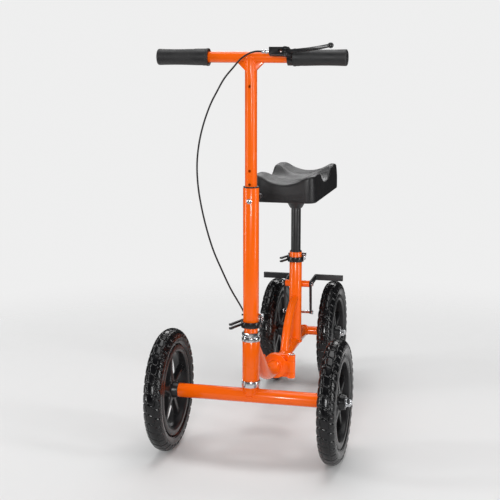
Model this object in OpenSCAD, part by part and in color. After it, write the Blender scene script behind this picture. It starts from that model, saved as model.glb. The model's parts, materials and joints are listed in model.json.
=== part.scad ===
// Four-wheel folding knee scooter. +X is forward, +Y is the rider's left, +Z is up.
// The origin lies on the ground, midway between the axles.

/* [Overall] */
// Distance from the rear axle to the front axle
wheelbase = 660; // [600:5:700]
// Distance between the front wheels' middle planes
front_track = 418; // [380:2:440]
// Distance between the rear wheels' middle planes
rear_track = 170; // [166:2:190]
// Height of the handlebar's centre line, at its middle setting
bar_h = 968; // [940:2:990]
// Height of the knee pad's underside, at its middle setting
seat_h = 578; // [560:2:600]
// Length of the handlebar over its grips
bar_len = 452; // [430:2:480]

/* [Wheels] */
// Outer diameter of the tyres
wheel_d = 305; // [290:1:315]
// Width of the tyres
tyre_w = 46.8; // [42:0.2:50]
// Thickness of the tyre's wall
tyre_wall = 6.4; // [5:0.2:8]
// Radius of the rim's bed, which the tyre sits on
rim_bed_r = 105; // [100:1:108]
// Radial thickness of the rim's ring
rim_t = 8; // [6:0.5:10]
// Number of spokes in a rim
spokes = 5; // [3:1:7]
// Radius of the hub
hub_r = 20; // [18:0.5:26]
// Width of the hub
hub_w = 50; // [44:1:56]
// Outer radius of a wheel bearing
bearing_r = 13; // [11:0.5:15]
// Width of a wheel bearing
bearing_w = 8; // [6:0.5:10]
// Radius of the axles
axle_r = 6; // [5:0.5:7]

/* [Frame tubes] */
// Wall of the frame tubes
wall = 2.5; // [1.8:0.1:3.2]
// Diameter of the rear frame's lower tube
lower_d = 30; // [26:0.5:34]
// Diameter of the seat tube
seat_tube_d = 35; // [33:0.5:40]
// Diameter of the arch tube
arch_d = 22; // [18:0.5:26]
// Radius of the arch tube's bend
arch_bend = 200; // [190:5:210]
// Diameter of the rear axle tube
rear_axle_tube_d = 25.4; // [22:0.2:30]
// Diameter of the front frame's curved tube
front_tube_d = 36; // [32:0.5:40]
// Radius of the front tube's bend
front_bend = 200; // [160:5:240]
// Diameter of the head tube
head_d = 42; // [40:0.5:48]
// Height of the head tube's lower end
head_z = 192; // [188:1:200]
// Length of the head tube
head_len = 99; // [90:1:110]
// Diameter of the front axle tube
front_axle_tube_d = 35; // [30:0.5:40]
// Horizontal distance from the rear axle to the seat tube
seat_tube_back = 130; // [124:1:136]
// Height of the seat tube's top
seat_tube_top = 415; // [405:1:425]

/* [Frame hinge] */
// Place of the hinge's parting plane along the scooter
hinge_x = 58; // [50:1:70]
// Sideways distance of the hinge pin
hinge_y = 43; // [40:0.5:48]
// Radius of the hinge plates
plate_r = 33; // [30:0.5:36]
// Thickness of a hinge plate
plate_t = 9; // [7:0.5:12]
// Radius of the hinge pin
pin_r = 5; // [4:0.5:6]
// Length of the latch lever
latch_len = 66; // [50:1:75]
// Height of the latch lever
latch_w = 30; // [24:1:31]

/* [Column] */
// Diameter of the lower column tube
column_d = 38; // [37:0.5:42]
// Height of the lower column's top
column_top = 664; // [650:1:680]
// Height of the lower column's bottom
column_bottom = 322; // [320:1:326]
// Diameter of the steerer tube
steerer_d = 32.6; // [30:0.2:32.8]
// Diameter of the upper column tube
upper_d = 28.6; // [25.4:0.2:29]
// Length of the upper column inside the lower one
upper_insert = 104; // [90:1:110]
// Diameter of the handlebar
bar_d = 25.4; // [22.2:0.2:26]
// Height of the column's clamp
column_clamp_z = 332; // [330:1:336]
// Height of the column's lock pin
column_pin_z = 354; // [348:1:360]
// Height of the star knob
knob_z = 640; // [634:1:646]
// Radius of the star knob
knob_r = 19; // [15:0.5:22]

/* [Grips and brake lever] */
// Diameter of the grips
grip_d = 39; // [34:0.5:42]
// Length of the grips
grip_len = 125; // [110:1:130]
// Angle of the brake lever's plane above level
lever_tilt = 15; // [0:1:40]
// Distance of the lever's pivot from the handlebar's centre line
lever_reach = 54; // [50:1:60]
// Length of the lever's blade
lever_len = 126; // [110:1:135]
// Angle between the lever's blade and the handlebar
lever_angle = 26; // [22:1:30]

/* [Seat] */
// Diameter of the seat post
post_d = 27.2; // [25.4:0.2:28]
// Distance between the post's height holes
post_pitch = 25; // [20:1:25]
// Length of the knee pad
pad_len = 370; // [340:5:400]
// Width of the knee pad
pad_w = 175; // [160:5:190]
// Greatest thickness of the knee pad
pad_t = 74; // [65:1:85]
// Depth of the trough that runs along the pad
pad_trough = 25; // [15:1:30]
// Depth of the dip across the pad
pad_dip = 34; // [20:1:38]

/* [Rear brake] */
// Radius of the brake cross tube
cross_r = 9.5; // [8:0.5:11]
// Height of the brake's pivot
brake_z = 316; // [314:1:320]
// Length of the brake cross tube
cross_len = 70; // [64:1:76]
// Height of the brake rod
rod_z = 231; // [225:1:240]
// Gap between the brake bars and the tyres
brake_gap = 8.5; // [7:0.5:10]

/* [Clearances] */
// Radial clearance of a shaft that turns in a bore
fit = 0.05; // [0.02:0.01:0.1]
// Radial clearance of a tube that slides in a bush
slide_fit = 0.08; // [0.02:0.01:0.1]
// Gap between welded tubes at their coped ends
weld_gap = 0.1; // [0.05:0.05:0.2]
// Gap between faces that move past each other
run_gap = 0.4; // [0.3:0.1:0.8]

/* [Hidden] */
$fn = 64;
eps = 1;
orange = "#f26a0c";
black = "#17181a";
grey = "#303236";
silver = "#c8ccd0";
front_x = wheelbase / 2;
rear_x = -wheelbase / 2;
axle_z = wheel_d / 2;
tyre_r = tyre_w / 2;
tyre_mid_r = axle_z - tyre_r;
bead_w = 17;
flange_w = 2.3;
seat_x = rear_x + seat_tube_back;
spoke_w = 16;
hub_side = hub_w / 2 + run_gap;
hinge_gap = 0.3;
knuckle_r = 11;
knuckle_h = 15;
knuckle_mid = 16;
plate_edge = hinge_y - knuckle_r - 1;
latch_x = hinge_x + hinge_gap + plate_t - 1;
latch_y = -(plate_r + 8);
latch_bolt_r = 4;
head_top = head_z + head_len;
crown_z = axle_z + 23;
steerer_top = column_pin_z + 40;
column_wall = (column_d - steerer_d) / 2 - 0.2;
column_bore_r = column_d / 2 - column_wall;
upper_bottom = column_top - upper_insert;
front_slope = 40;
join_z = head_top - 7;
front_tube_x = hinge_x + hinge_gap + plate_t;
bend_x = front_x - (join_z - axle_z) / tan(front_slope) - front_bend * tan(front_slope / 2);
clamp_h = 14;
clamp_t = 5;
lever_slant = 18;
seat_clamp_z = seat_tube_top - 21;
seat_pin_z = seat_tube_top - 7;
lock_pin_r = 2.5;
skewer_r = 2.9;
post_holes = [-2:4];
post_bottom = seat_tube_top - 125;
pad_x = seat_x - 7;
bracket_t = 6;
bracket_h = 37;
screw_x = 55;
screw_y = 32;
cross_x = seat_x - seat_tube_d / 2 - cross_r - 3;
arm_y = cross_len / 2 + 2.5;
bar_x = rear_x + 20;
brake_bar_h = 16;
brake_bar_t = 10;
brake_bar_z = axle_z + sqrt(pow(axle_z, 2) - pow(bar_x - rear_x, 2)) + brake_gap;
rod_x = cross_x - 8;
rod_r = 4;
cable_r = 2.1;
boot_r = cable_r + 1.9;
wire_r = 0.9;
adjuster_y = 38;
lever_y = 92;
// Route of the brake cable from the lever's adjuster down to the front tube and through it to the hinge
cable_front = [[382.2, 37.7, 982], [382.2, 24, 982], [380, 7, 977], [375, -13, 965], [368, -33, 945],
    [361, -56, 920], [354, -76, 889], [347, -95, 856], [339, -114, 810], [333, -127, 762], [329, -133, 712],
    [327, -131, 660], [325, -123, 608], [323, -111, 556], [320, -96, 506], [314, -77, 458], [305, -57, 410],
    [294, -37, 364], [282, -20, 322], [272, -7, 288], [262, 0, 262], [252, 0, 242], [240, 0, 222],
    [222, 0, 200], [200, 0, 180], [176, 0, 166], [150, 0, 157], [120, 0, 153], [90, 0, 152.5], [58.3, 0, 152.5]];
// Route of the cable from the hinge through the lower tube to its exit
cable_rear = [[58, 0, 152.5], [20, 0, 152.5], [-20, 0, 152.5], [-50, 0, 153], [-74, -1, 156],
    [-92, -3, 163], [-104, -6, 172.3], [-116, -9, 181.6]];
// Route of the bare wire from the exit to the brake rod
wire_rear = [[-116, -9, 181.6], [-128, -14, 191], [-146, -20, 202], [-168, -24, 212], [-192, -25, 220],
    [-214, -25, 226], [-233, -25, 230]];

// Cylinder from one height to another on the local Z axis
module cyl_z(r, z0, z1) {
    translate([0, 0, z0]) cylinder(r = r, h = z1 - z0);
}

// Cylinder along X through a point's Y and Z
module cyl_x(r, x0, x1, y = 0, z = 0) {
    translate([x0, y, z]) rotate([0, 90, 0]) cylinder(r = r, h = x1 - x0);
}

// Cylinder along Y through a point's X and Z
module cyl_y(r, y0, y1, x = 0, z = 0) {
    translate([x, y1, z]) rotate([90, 0, 0]) cylinder(r = r, h = y1 - y0);
}

// Cylinder or cone between two points of the plane y = 0
module slanted(a, b, r1, r2) {
    d = b - a;
    translate([a[0], 0, a[1]]) rotate([0, atan2(d[0], d[1]), 0]) cylinder(r1 = r1, r2 = r2, h = norm(d));
}

// Straight tube along Z
module pipe_z(d, t, z0, z1) {
    difference() {
        cyl_z(d / 2, z0, z1);
        cyl_z(d / 2 - t, z0 - eps, z1 + eps);
    }
}

// Points of a smooth curve through a list of points, with steps intervals to each pair
function curve(p, steps) = let (n = len(p) - 1) [for (i = [0:n - 1]) for (k = [0:steps - 1])
    let (t = k / steps, a = p[max(i - 1, 0)], b = p[i], c = p[i + 1], d = p[min(i + 2, n)])
    0.5 * (2 * b + (c - a) * t + (2 * a - 5 * b + 4 * c - d) * t * t + (3 * b - a - 3 * c + d) * t * t * t), p[n]];
function unit(v) = v / norm(v);
function along(p, i) = unit(p[min(i + 1, len(p) - 1)] - p[max(i - 1, 0)]);
// Side direction of each ring, carried along the curve so that the rings do not twist
function sides(p, i = 0, u = [0, 0, 1]) = i >= len(p) ? [] :
    let (t = along(p, i), v = unit(u - (u * t) * t)) concat([v], sides(p, i + 1, v));

// Round cord swept along a curve
module cord(p, r, n = 8) {
    m = len(p);
    u = sides(p, 0, unit([0.2, 0.1, 0.9]));
    points = [for (i = [0:m - 1]) for (k = [0:n - 1]) let (a = 360 * k / n)
        p[i] + r * (cos(a) * u[i] + sin(a) * cross(along(p, i), u[i]))];
    skin = [for (i = [0:m - 2]) for (k = [0:n - 1])
        [i * n + k, (i + 1) * n + k, (i + 1) * n + (k + 1) % n, i * n + (k + 1) % n]];
    ends = [[for (k = [0:n - 1]) k], [for (k = [n - 1:-1:0]) (m - 1) * n + k]];
    polyhedron(points = points, faces = concat(skin, ends));
}

// ---- Rear frame ----

module rear_lower_tube() {
    color(orange) difference() {
        cyl_x(lower_d / 2, rear_x, hinge_x - plate_t, 0, axle_z);
        cyl_x(lower_d / 2 - wall, rear_x - eps, hinge_x, 0, axle_z);
        cyl_y(rear_axle_tube_d / 2 + weld_gap, -lower_d, lower_d, rear_x, axle_z);
        exit_hole(boot_r + 0.2);
    }
}

// Hole that the cable and its boot leave the lower tube through
module exit_hole(r) {
    translate([-92, -3, axle_z + 10.5]) rotate([0, -53, 14]) cylinder(r = r, h = 40, center = true);
}

module seat_tube() {
    color(orange) translate([seat_x, 0, 0]) difference() {
        pipe_z(seat_tube_d, wall, axle_z, seat_tube_top);
        cyl_x(lower_d / 2 + weld_gap, -seat_tube_d, seat_tube_d, 0, axle_z);
        translate([-seat_tube_d, -1.5, seat_clamp_z - 12]) cube([seat_tube_d, 3, 60]);
        cyl_y(lock_pin_r + fit, -seat_tube_d, seat_tube_d, 0, seat_pin_z);
    }
}

// Arc that the arch tube follows, as a solid of the given radius
module arch_solid(r) {
    translate([seat_x - 40, 0, axle_z - 64]) rotate([90, 0, 0]) rotate([0, 0, 17])
        rotate_extrude(angle = 63) translate([arch_bend, 0]) circle(r = r);
}

module arch_tube() {
    color(orange) difference() {
        arch_solid(arch_d / 2);
        arch_solid(arch_d / 2 - 2);
        translate([seat_x, 0, 0]) cyl_z(seat_tube_d / 2 + weld_gap, 0, seat_tube_top);
        cyl_x(lower_d / 2 + weld_gap, seat_x, hinge_x, 0, axle_z);
        translate([seat_x - 60, -20, axle_z]) cube([60, 40, 200]);
        translate([seat_x, -20, axle_z - 90]) cube([200, 40, 90]);
    }
}

module rear_axle_tube() {
    half = rear_track / 2 - hub_side;
    color(orange) difference() {
        cyl_y(rear_axle_tube_d / 2, -half, half, rear_x, axle_z);
        cyl_y(axle_r + fit, -half - eps, half + eps, rear_x, axle_z);
    }
}

module brake_cross_tube() {
    color(orange) difference() {
        union() {
            cyl_y(cross_r, -cross_len / 2, cross_len / 2, cross_x, brake_z);
            translate([cross_x, -6, brake_z - 7]) cube([seat_x - cross_x, 12, 14]);
        }
        translate([seat_x, 0, 0]) cyl_z(seat_tube_d / 2 + weld_gap, 0, seat_tube_top);
        cyl_y(3 + fit, -cross_len, cross_len, cross_x, brake_z);
    }
}

module brake_pivot_bolts() {
    color(silver) for (s = [-1, 1]) {
        a = s * (cross_len / 2 - 20);
        b = s * (arm_y + 2.5 + run_gap);
        c = s * (arm_y + 8);
        cyl_y(3, min(a, b), max(a, b), cross_x, brake_z);
        translate([cross_x, max(b, c), brake_z]) rotate([90, 0, 0]) cylinder(r = 7, h = abs(c - b), $fn = 6);
    }
}

// Round plate with a tongue towards the hinge pin's side, between two X values
module hinge_disc(x0) {
    translate([x0, 0, axle_z]) rotate([90, 0, 90]) linear_extrude(plate_t) {
        intersection() {
            circle(r = plate_r);
            translate([-plate_r, -plate_r]) square([plate_r + plate_edge, 2 * plate_r]);
        }
    }
}

// Hinge knuckle with its web, from one height to another; side is -1 for the rear frame's
module knuckle(z0, z1, side) {
    translate([hinge_x + hinge_gap / 2, hinge_y, 0]) cyl_z(knuckle_r, z0, z1);
    web_x = side < 0 ? hinge_x - plate_t : hinge_x + hinge_gap;
    translate([web_x, plate_edge - 16, z0]) cube([plate_t, hinge_y - plate_edge + 16, z1 - z0]);
}

module pin_bore() {
    translate([hinge_x + hinge_gap / 2, hinge_y, 0]) cyl_z(pin_r + fit, 0, 2 * axle_z);
}

module cable_way() {
    cyl_x(cable_r + 1, hinge_x - 50, hinge_x + 50, 0, axle_z);
}

module rear_hinge_plate() {
    low = axle_z - knuckle_mid;
    high = axle_z + knuckle_mid;
    color(orange) difference() {
        union() {
            hinge_disc(hinge_x - plate_t);
            knuckle(low - knuckle_h, low, -1);
            knuckle(high, high + knuckle_h, -1);
            translate([hinge_x - 24, -10, axle_z - plate_r - 2]) cube([24, 20, 5]);
        }
        pin_bore();
        cable_way();
    }
}

module hinge_pin() {
    ends = knuckle_mid + knuckle_h;
    color(silver) translate([hinge_x + hinge_gap / 2, hinge_y, axle_z]) {
        cyl_z(pin_r, -ends, ends);
        cyl_z(pin_r + 2.5, ends, ends + 4);
        cyl_z(pin_r + 2.5, -ends - 4, -ends);
    }
}

module hinge_bumper() {
    color(black) translate([hinge_x - 13, 0, axle_z - plate_r - 2]) {
        cyl_z(9, -6, 0);
        cyl_z(6.5, -9, -6);
    }
}

module seat_tube_bush() {
    outer = seat_tube_d / 2 - wall - weld_gap;
    color(grey) translate([seat_x, 0, 0]) difference() {
        union() {
            cyl_z(outer, seat_tube_top - 40, seat_tube_top);
            cyl_z(seat_tube_d / 2 - 1, seat_tube_top, seat_tube_top + 3);
        }
        cyl_z(post_d / 2 + slide_fit, 0, seat_tube_top + 20);
        cyl_y(lock_pin_r + fit, -seat_tube_d, seat_tube_d, 0, seat_pin_z);
    }
}

// Split collar with rear ears, and the skewer through the ears with its nut and its cross pin
module clamp_collar(tube_d) {
    r = tube_d / 2 + weld_gap;
    ear = r + clamp_t + 11;
    skew = r + clamp_t + 4;
    difference() {
        union() {
            cyl_z(r + clamp_t, -clamp_h / 2, clamp_h / 2);
            translate([-ear, -9, -clamp_h / 2]) cube([ear, 18, clamp_h]);
        }
        cyl_z(r, -clamp_h, clamp_h);
        translate([-ear - eps, -1.5, -clamp_h]) cube([ear, 3, 2 * clamp_h]);
        cyl_y(skewer_r + fit, -30, 30, -skew, 0);
    }
}

// Sideways distance of a clamp lever's pivot, at which the slanted lever clears its collar
function pivot_y(tube_d) = let (outer = tube_d / 2 + weld_gap + clamp_t)
    max(20, (outer + 3.6 - (outer + 4) * sin(lever_slant)) / cos(lever_slant));

module clamp_skewer(tube_d) {
    skew = tube_d / 2 + weld_gap + clamp_t + 4;
    cyl_y(skewer_r, -pivot_y(tube_d), 9.1, -skew, 0);
    translate([-skew, 14, 0]) rotate([90, 0, 0]) cylinder(r = 5.6, h = 4.9, $fn = 6);
    translate([-skew, -pivot_y(tube_d), 0]) cyl_z(2.5, -clamp_h / 2 - 1, clamp_h / 2 + 1);
}

// Two-pronged cam lever that lies beside its collar and points forward
module clamp_lever(tube_d, length) {
    skew = tube_d / 2 + weld_gap + clamp_t + 4;
    h = clamp_h / 2;
    translate([-skew, -pivot_y(tube_d), 0]) difference() {
        rotate([0, 0, -lever_slant]) union() {
            cyl_z(6.5, -h, h);
            translate([0, -4, -h]) cube([length, 7, 2 * h]);
            translate([length, -0.5, 0]) cyl_z(h / 2 + 1.5, -h, h);
        }
        cyl_z(2.5 + fit, -clamp_h, clamp_h);
        translate([-10, -10, -skewer_r - run_gap]) cube([19, 30, 2 * (skewer_r + run_gap)]);
        rotate([0, 0, -lever_slant]) translate([16, -10, -2.5]) cube([length, 20, 5]);
    }
}

module seat_clamp() {
    color(black) translate([seat_x, 0, seat_clamp_z]) clamp_collar(seat_tube_d);
    color(silver) translate([seat_x, 0, seat_clamp_z]) clamp_skewer(seat_tube_d);
}

module seat_clamp_lever() {
    color(black) translate([seat_x, 0, seat_clamp_z]) clamp_lever(seat_tube_d, 52);
}

// Lock pin that crosses a tube of the given radius, with a pull ring in its head
module lock_pin(tube_r) {
    ring_y = tube_r + 9;
    difference() {
        union() {
            cyl_y(lock_pin_r, -tube_r - 4, tube_r + 1);
            cyl_y(5.2, tube_r + 0.6, ring_y + 3);
        }
        cyl_x(1.4, -9, 9, ring_y, 0);
    }
    translate([0, ring_y, -8]) rotate([90, 0, 0]) rotate_extrude() translate([8, 0]) circle(r = 0.9, $fn = 16);
}

module seat_lock_pin() {
    color(silver) translate([seat_x, 0, seat_pin_z]) lock_pin(seat_tube_d / 2);
}

module rear_axle() {
    face = rear_track / 2 + hub_side;
    color(silver) {
        cyl_y(axle_r, -face - 15, face + 15, rear_x, axle_z);
        for (s = [-1, 1]) axle_fastener(rear_x, s, face);
    }
}

// Washer and nut on the end of an axle, outside a wheel
module axle_fastener(x, s, face) {
    translate([x, s * face, axle_z]) rotate([s > 0 ? -90 : 90, 0, 0]) difference() {
        union() {
            cyl_z(12, 0, 2);
            translate([0, 0, 2]) cylinder(r = 10.5, h = 9, $fn = 6);
        }
        cyl_z(axle_r + fit, -eps, 20);
    }
}

module cable_exit_boot() {
    color(black) translate([-92, -3, axle_z + 10.5]) rotate([0, -53, 14]) difference() {
        cyl_z(boot_r, 4, 26);
        cyl_z(cable_r + 0.9, 4 - eps, 26 + eps);
    }
}

module brake_cable_rear() {
    color(black) cord(curve(cable_rear, 3), cable_r);
    color(silver) cord(curve(wire_rear, 3), wire_r);
}

// ---- Front frame ----

// Bent front tube as a solid of the given radius: level part, bend, and slope up to the head tube
module front_tube_solid(r) {
    rise = (join_z - axle_z - front_bend * (1 - cos(front_slope))) / sin(front_slope);
    cyl_x(r, front_tube_x, bend_x, 0, axle_z);
    translate([bend_x, 0, axle_z + front_bend]) rotate([90, 0, 0]) rotate([0, 0, -90]) {
        rotate_extrude(angle = front_slope) translate([front_bend, 0]) circle(r = r);
        rotate([0, 0, front_slope]) translate([front_bend, 0, 0]) rotate([-90, 0, 0]) cylinder(r = r, h = rise);
    }
}

module front_tube() {
    color(orange) difference() {
        front_tube_solid(front_tube_d / 2);
        front_tube_solid(front_tube_d / 2 - wall);
        translate([front_x, 0, 0]) cyl_z(head_d / 2 + weld_gap, 0, 2 * head_top);
        cyl_x(front_tube_d / 2 - wall, front_tube_x - eps, front_tube_x + eps, 0, axle_z);
        entry_hole(boot_r + 0.2);
    }
}

// Hole that the cable and its boot enter the front tube through
module entry_hole(r) {
    slanted([front_x - 92, join_z - 70], [front_x - 62, join_z - 10], r, r);
}

module cable_entry_boot() {
    color(black) difference() {
        slanted([front_x - 82, join_z - 50], [front_x - 68, join_z - 22], boot_r, boot_r);
        slanted([front_x - 90, join_z - 66], [front_x - 60, join_z - 6], cable_r + 0.9, cable_r + 0.9);
    }
}

module brake_cable_front() {
    color(black) cord(curve(cable_front, 2), cable_r);
}

module head_tube() {
    color(orange) translate([front_x, 0, 0]) pipe_z(head_d, wall, head_z, head_top);
}

module front_hinge_plate() {
    ear = latch_w / 2 + run_gap;
    gap = 0.3;
    color(orange) difference() {
        union() {
            hinge_disc(hinge_x + hinge_gap);
            knuckle(axle_z - knuckle_mid + gap, axle_z + knuckle_mid - gap, 1);
            for (s = [-1, 1]) translate([0, 0, axle_z + s * (ear + 2.5)]) {
                translate([latch_x, latch_y, 0]) cyl_z(7, -2.5, 2.5);
                translate([hinge_x + hinge_gap, latch_y, -2.5]) cube([plate_t - 1, 25, 5]);
            }
        }
        pin_bore();
        cable_way();
        translate([latch_x, latch_y, 0]) cyl_z(latch_bolt_r + fit, 0, 2 * axle_z);
    }
}

module latch_bolt() {
    half = latch_w / 2 + run_gap + 5;
    color(silver) translate([latch_x, latch_y, axle_z]) {
        cyl_z(latch_bolt_r, -half, half);
        translate([0, 0, half]) cylinder(r = 7.5, h = 5, $fn = 6);
        translate([0, 0, -half - 5]) cylinder(r = 7.5, h = 5, $fn = 6);
    }
}

module hinge_latch() {
    color(orange) translate([latch_x, latch_y, axle_z]) difference() {
        union() {
            cyl_z(7, -latch_w / 2, latch_w / 2);
            intersection() {
                translate([-latch_len, -6, -latch_w / 2]) cube([latch_len, 7, latch_w]);
                union() {
                    cyl_y(latch_w / 2, -10, 10, -latch_len + latch_w / 2, 0);
                    translate([-latch_len + latch_w / 2, -10, -latch_w / 2]) cube([latch_len, 20, latch_w]);
                }
            }
        }
        cyl_z(latch_bolt_r + fit, -latch_w, latch_w);
    }
}

module headset_cups() {
    inner = head_d / 2 - wall - weld_gap;
    seat_r = 20;
    color(silver) translate([front_x, 0, 0]) {
        difference() {
            union() {
                cyl_z(23, crown_z + 1, head_z);
                cyl_z(inner, head_z, head_z + 8);
            }
            cyl_z(seat_r, 0, crown_z + 10);
            cyl_z(steerer_d / 2 + 1, 0, head_top);
        }
        difference() {
            union() {
                cyl_z(23, head_top, head_top + 10);
                cyl_z(inner, head_top - 8, head_top);
            }
            cyl_z(seat_r, head_top + 2, head_top + 20);
            cyl_z(steerer_d / 2 + 1, 0, head_top + 20);
        }
    }
}

module headset_bearings() {
    color(silver) translate([front_x, 0, 0]) {
        for (z = [crown_z + 1.6, head_top + 2.2]) difference() {
            cyl_z(20 - weld_gap, z, z + 7.4);
            cyl_z(steerer_d / 2 + fit, 0, z + 20);
        }
    }
}

// ---- Steering ----

module front_axle_tube() {
    half = front_track / 2 - hub_side;
    color(orange) difference() {
        cyl_y(front_axle_tube_d / 2, -half, half, front_x, axle_z);
        cyl_y(front_axle_tube_d / 2 - wall, -half + 40, half - 40, front_x, axle_z);
        cyl_y(axle_r + fit, -half - eps, half + eps, front_x, axle_z);
    }
}

module steerer_tube() {
    color(orange) translate([front_x, 0, 0]) difference() {
        union() {
            cyl_z(19, axle_z, crown_z);
            cyl_z(steerer_d / 2, crown_z, steerer_top);
        }
        cyl_z(steerer_d / 2 - 3, axle_z - eps, steerer_top + eps);
        cyl_y(front_axle_tube_d / 2 + weld_gap, -30, 30, 0, axle_z);
        cyl_y(lock_pin_r + fit, -30, 30, 0, column_pin_z);
    }
}

module headset_nuts() {
    low = head_top + 10.5;
    color(silver) translate([front_x, 0, 0]) difference() {
        union() {
            cyl_z(20.5, low, low + 3);
            translate([0, 0, low + 3]) cylinder(r = 23, h = 8, $fn = 6);
        }
        cyl_z(steerer_d / 2 + fit, 0, 500);
    }
}

module lower_column() {
    color(orange) translate([front_x, 0, 0]) difference() {
        cyl_z(column_d / 2, column_bottom, column_top);
        cyl_z(column_bore_r, column_bottom - eps, column_top + eps);
        translate([-column_d, -1.5, column_bottom - eps]) cube([column_d, 3, 24]);
        cyl_y(lock_pin_r + fit, -30, 30, 0, column_pin_z);
        cyl_x(3 + fit, -30, 0, 0, knob_z);
    }
}

module column_bush() {
    color(grey) translate([front_x, 0, 0]) difference() {
        union() {
            cyl_z(column_bore_r - weld_gap, column_top - 50, column_top);
            cyl_z(column_d / 2 - 0.6, column_top, column_top + 3);
        }
        cyl_z(upper_d / 2 + slide_fit, 0, column_top + 20);
        cyl_x(3 + fit, -30, 0, 0, knob_z);
    }
}

module column_clamp() {
    color(black) translate([front_x, 0, column_clamp_z]) clamp_collar(column_d);
    color(silver) translate([front_x, 0, column_clamp_z]) clamp_skewer(column_d);
}

module column_clamp_lever() {
    color(black) translate([front_x, 0, column_clamp_z]) clamp_lever(column_d, 66);
}

module column_lock_pin() {
    color(silver) translate([front_x, 0, column_pin_z]) lock_pin(column_d / 2);
}

module front_axle_bolts() {
    face = front_track / 2 + hub_side;
    color(silver) for (s = [-1, 1]) {
        inner = s * (front_track / 2 - hub_side - 36);
        outer = s * (face + 15);
        cyl_y(axle_r, min(inner, outer), max(inner, outer), front_x, axle_z);
        axle_fastener(front_x, s, face);
    }
}

module star_knob() {
    outer = -column_d / 2 - 5;
    tip = -upper_d / 2 - run_gap;
    color(black) translate([front_x, 0, knob_z]) rotate([0, -90, 0]) {
        cyl_z(9, column_d / 2 + run_gap, -outer);
        translate([0, 0, -outer]) {
            cylinder(r = knob_r - 5, h = 15);
            for (k = [0:4]) rotate([0, 0, 72 * k + 18]) translate([knob_r - 5.5, 0, 0]) cylinder(r = 5.5, h = 15);
        }
        cyl_z(3, -tip, -outer + eps);
    }
}

// ---- Handlebar ----

module handlebar_tube() {
    half = bar_len / 2 - 4;
    color(orange) translate([front_x, 0, bar_h]) difference() {
        cyl_y(bar_d / 2, -half, half);
        cyl_y(bar_d / 2 - 2, -half - eps, half + eps);
    }
}

module upper_column() {
    top = bar_h - bar_d / 2;
    gusset = 16;
    color(orange) translate([front_x, 0, 0]) difference() {
        union() {
            cyl_z(upper_d / 2, upper_bottom, bar_h);
            for (s = [-1, 1]) translate([0, s * upper_d / 2, bar_h - bar_d / 2]) rotate([90, 0, 90])
                linear_extrude(14, center = true)
                polygon([[-s * 3, -gusset - 3], [-s * 3, 3], [s * gusset, 3], [s * gusset, 0], [0, -gusset]]);
        }
        cyl_z(upper_d / 2 - 2, upper_bottom - eps, top + 8);
        cyl_y(bar_d / 2 + weld_gap, -60, 60, 0, bar_h);
        for (z = [knob_z, knob_z + 32, knob_z + 64, bar_h - 67]) cyl_x(3.4, -30, 30, 0, z);
    }
}

module grip(s) {
    inner = bar_len / 2 - grip_len;
    r = grip_d / 2;
    color(black) translate([front_x, 0, bar_h]) rotate([s > 0 ? -90 : 90, 0, 0]) difference() {
        union() {
            cyl_z(r + 1, inner, inner + 6);
            translate([0, 0, inner + 6]) cylinder(r1 = r + 1, r2 = r - 1, h = 20);
            cyl_z(r - 1, inner + 26, bar_len / 2 - 20);
            translate([0, 0, bar_len / 2 - 20]) cylinder(r1 = r - 1, r2 = r, h = 17);
            translate([0, 0, bar_len / 2 - 3]) cylinder(r1 = r, r2 = r - 3, h = 3);
        }
        cyl_z(bar_d / 2 + weld_gap, inner - eps, bar_len / 2 - 3.9);
    }
}

module grip_left() {
    grip(1);
}

module grip_right() {
    grip(-1);
}

// Places the brake lever's parts: local X points away from the handlebar
module lever_frame() {
    translate([front_x, 0, bar_h]) rotate([0, -lever_tilt, 0]) children();
}

module lever_bracket() {
    clamp = lever_y - 4;
    color(black) lever_frame() difference() {
        union() {
            cyl_y(bar_d / 2 + 6, clamp, clamp + 12);
            translate([bar_d / 2 + 2, clamp, -5.5]) cube([lever_reach - bar_d / 2, 12, 11]);
            translate([lever_reach - 11, adjuster_y + 18, -8.5]) cube([20, lever_y - adjuster_y - 8, 17]);
            translate([lever_reach, lever_y, 0]) cyl_z(10, -8.5, 8.5);
        }
        cyl_y(bar_d / 2 + weld_gap, clamp - eps, clamp + 20);
        translate([lever_reach - 14, lever_y - 14, -3.5]) cube([40, 40, 7]);
        translate([lever_reach, lever_y, 0]) cyl_z(3 + fit, -20, 20);
        cyl_y(1.4, adjuster_y, lever_y, lever_reach, 0);
        translate([-20, clamp - eps, -1]) cube([20 - bar_d / 2 + 2, 20, 2]);
    }
    color(silver) lever_frame() translate([lever_reach, lever_y, 0]) {
        cyl_z(3, -10, 10);
        cyl_z(5, 8.5, 11);
        cyl_z(5, -11, -8.5);
    }
}

module cable_adjuster() {
    root = adjuster_y + 18;
    color(silver) lever_frame() difference() {
        union() {
            cyl_y(3.6, adjuster_y, root, lever_reach);
            cyl_y(5.2, adjuster_y + 8, adjuster_y + 13, lever_reach);
            cyl_y(4.6, adjuster_y, adjuster_y + 5, lever_reach);
        }
        cyl_y(1.2, adjuster_y - eps, root + eps, lever_reach);
    }
}

// Blade's centre line bows slightly towards the handlebar; its width tapers to the ball
function blade_x(t) = -7 * sin(180 * t);
function blade_w(t) = 5.6 - 2.2 * t;

module brake_lever() {
    n = 12;
    color(black) lever_frame() translate([lever_reach, lever_y, 0]) rotate([0, 0, -lever_angle]) difference() {
        union() {
            cyl_z(8, -3.1, 3.1);
            translate([0, 0, -3.1]) linear_extrude(6.2) polygon(concat(
                [for (i = [0:n]) [blade_x(i / n) + blade_w(i / n), lever_len * i / n]],
                [for (i = [n:-1:0]) [blade_x(i / n) - blade_w(i / n), lever_len * i / n]]));
            translate([0, lever_len, 0]) sphere(r = 6.5);
        }
        cyl_z(3 + fit, -10, 10);
    }
}

// ---- Rear brake ----

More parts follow.
